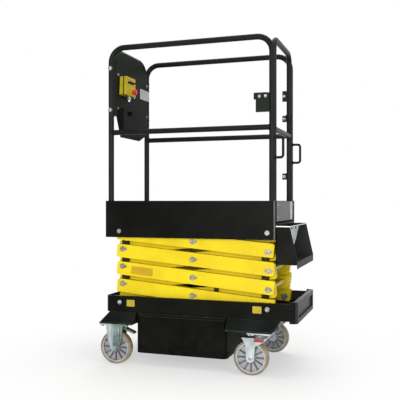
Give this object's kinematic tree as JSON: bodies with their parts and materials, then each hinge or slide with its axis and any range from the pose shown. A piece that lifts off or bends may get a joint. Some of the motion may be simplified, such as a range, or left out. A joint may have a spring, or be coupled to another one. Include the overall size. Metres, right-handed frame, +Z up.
{
  "type": "push-around scissor lift",
  "caption": "Narrow push-around scissor lift with stacked arms, castor base, railed platform, swing gate, boarding step and a platform control box.",
  "frame": {"origin": "on the ground under the middle of the bounding box", "axes": "+Z up; +X toward the entry end with the gate and step; +Y toward the far side of the picture"},
  "size_m": [1.2028, 0.7, 1.937],
  "materials": {
    "frame_black": "satin",
    "battery_grey": "matt",
    "zinc": "zinc plated",
    "pedal_red": "gloss",
    "tread_brown": "matt",
    "hub_grey": "matt",
    "arm_yellow": "satin",
    "box_yellow": "satin",
    "pocket_black": "matt",
    "rod_chrome": "polished",
    "bright_plate": "brushed"
  },
  "bodies": {
    "chassis": {"chassis_frame": "frame_black", "chassis_sides": "frame_black", "chassis_tracks": "frame_black", "cylinder_foot": "frame_black", "power_box": "frame_black", "battery_pack": "battery_grey", "castor_brackets": "frame_black", "castor_heads": "zinc", "fixed_forks": "zinc", "fixed_axles": "zinc", "brake_levers": "zinc"},
    "swivel_near": {"swivel_fork_near": "zinc", "swivel_axle_near": "zinc", "brake_pedal_near": "pedal_red"},
    "swivel_far": {"swivel_fork_far": "zinc", "swivel_axle_far": "zinc", "brake_pedal_far": "pedal_red"},
    "wheel_back_near": {"tread_back_near": "tread_brown", "hub_back_near": "hub_grey"},
    "wheel_back_far": {"tread_back_far": "tread_brown", "hub_back_far": "hub_grey"},
    "wheel_front_near": {"tread_front_near": "tread_brown", "hub_front_near": "hub_grey"},
    "wheel_front_far": {"tread_front_far": "tread_brown", "hub_front_far": "hub_grey"},
    "inner_1": {"inner_arms_1": "arm_yellow"},
    "inner_2": {"inner_arms_2": "arm_yellow"},
    "inner_3": {"inner_arms_3": "arm_yellow"},
    "inner_4": {"inner_arms_4": "arm_yellow", "platform_rollers": "zinc"},
    "outer_1": {"outer_arms_1": "arm_yellow", "pins_1": "zinc", "base_rollers": "zinc"},
    "outer_2": {"outer_arms_2": "arm_yellow", "pins_2": "zinc"},
    "outer_3": {"outer_arms_3": "arm_yellow", "pins_3": "zinc"},
    "outer_4": {"outer_arms_4": "arm_yellow", "pins_4": "zinc"},
    "barrel": {"cylinder_barrel": "frame_black"},
    "rod": {"cylinder_rod": "rod_chrome"},
    "platform": {"platform_frame": "frame_black", "platform_tracks": "frame_black", "deck": "bright_plate", "toe_boards": "frame_black", "guardrail_near": "frame_black", "guardrail_far": "frame_black", "guardrail_end": "frame_black", "control_panel": "frame_black", "control_box": "box_yellow", "stop_button": "pedal_red", "panel_fittings": "zinc", "document_pocket": "pocket_black", "grab_handles": "frame_black", "gate_hinges": "frame_black", "latch_bracket": "frame_black", "step_stirrup": "frame_black", "step_riser": "frame_black"},
    "gate": {"gate_frame": "frame_black", "gate_kick_plate": "frame_black"}
  },
  "joints": [
    {"name": "lift", "type": "hinge", "parent": "chassis", "child": "inner_1", "pos_m": [-0.477, 0, 0.375], "axis": [0, -1, 0], "range_deg": [0, 41.3]},
    {"name": "outer_1_turn", "type": "hinge", "parent": "inner_1", "child": "outer_1", "pos_m": [-0.0251, 0, 0.428], "axis": [0, 1, 0], "range_deg": [0, 82.6]},
    {"name": "outer_2_turn", "type": "hinge", "parent": "inner_1", "child": "outer_2", "pos_m": [0.4268, 0, 0.481], "axis": [0, 1, 0], "range_deg": [0, 82.6]},
    {"name": "inner_2_turn", "type": "hinge", "parent": "outer_2", "child": "inner_2", "pos_m": [-0.0251, 0, 0.534], "axis": [0, -1, 0], "range_deg": [0, 82.6]},
    {"name": "outer_3_turn", "type": "hinge", "parent": "inner_2", "child": "outer_3", "pos_m": [0.4268, 0, 0.587], "axis": [0, 1, 0], "range_deg": [0, 82.6]},
    {"name": "inner_3_turn", "type": "hinge", "parent": "outer_3", "child": "inner_3", "pos_m": [-0.0251, 0, 0.64], "axis": [0, -1, 0], "range_deg": [0, 82.6]},
    {"name": "outer_4_turn", "type": "hinge", "parent": "inner_3", "child": "outer_4", "pos_m": [0.4268, 0, 0.693], "axis": [0, 1, 0], "range_deg": [0, 82.6]},
    {"name": "inner_4_turn", "type": "hinge", "parent": "outer_4", "child": "inner_4", "pos_m": [-0.0251, 0, 0.746], "axis": [0, -1, 0], "range_deg": [0, 82.6]},
    {"name": "platform_level", "type": "hinge", "parent": "outer_4", "child": "platform", "pos_m": [-0.477, 0, 0.799], "axis": [0, -1, 0], "range_deg": [0, 41.3]},
    {"name": "barrel_tilt", "type": "hinge", "parent": "chassis", "child": "barrel", "pos_m": [0.3568, 0, 0.355], "axis": [0, 1, 0], "range_deg": [0, 9.52]},
    {"name": "rod_slide", "type": "slide", "parent": "barrel", "child": "rod", "axis": [-0.9785, 0, 0.2062], "range_m": [0, 0.1563]},
    {"name": "gate_swing", "type": "hinge", "parent": "platform", "child": "gate", "pos_m": [0.455, 0.235, 1.4], "axis": [0, 0, -1], "range_deg": [0, 90]},
    {"name": "swivel_turn_near", "type": "hinge", "parent": "chassis", "child": "swivel_near", "pos_m": [0.39281, -0.295, 0.23], "axis": [0, 0, 1], "continuous": true},
    {"name": "roll_front_near", "type": "hinge", "parent": "swivel_near", "child": "wheel_front_near", "pos_m": [0.34081, -0.295, 0.1], "axis": [0, 1, 0], "continuous": true},
    {"name": "roll_back_near", "type": "hinge", "parent": "chassis", "child": "wheel_back_near", "pos_m": [-0.501, -0.295, 0.1], "axis": [0, 1, 0], "continuous": true},
    {"name": "swivel_turn_far", "type": "hinge", "parent": "chassis", "child": "swivel_far", "pos_m": [0.39281, 0.295, 0.23], "axis": [0, 0, 1], "continuous": true},
    {"name": "roll_front_far", "type": "hinge", "parent": "swivel_far", "child": "wheel_front_far", "pos_m": [0.34081, 0.295, 0.1], "axis": [0, 1, 0], "continuous": true},
    {"name": "roll_back_far", "type": "hinge", "parent": "chassis", "child": "wheel_back_far", "pos_m": [-0.501, 0.295, 0.1], "axis": [0, 1, 0], "continuous": true}
  ],
  "couplings": [
    {"joint": "outer_1_turn", "follows": "lift", "ratio": 2},
    {"joint": "outer_2_turn", "follows": "lift", "ratio": 2},
    {"joint": "inner_2_turn", "follows": "lift", "ratio": 2},
    {"joint": "outer_3_turn", "follows": "lift", "ratio": 2},
    {"joint": "inner_3_turn", "follows": "lift", "ratio": 2},
    {"joint": "outer_4_turn", "follows": "lift", "ratio": 2},
    {"joint": "inner_4_turn", "follows": "lift", "ratio": 2},
    {"joint": "platform_level", "follows": "lift", "ratio": 1},
    {"joint": "barrel_tilt", "follows": "lift", "ratio": 0.2183},
    {"joint": "rod_slide", "follows": "lift", "m_per_rad": 0.214}
  ]
}
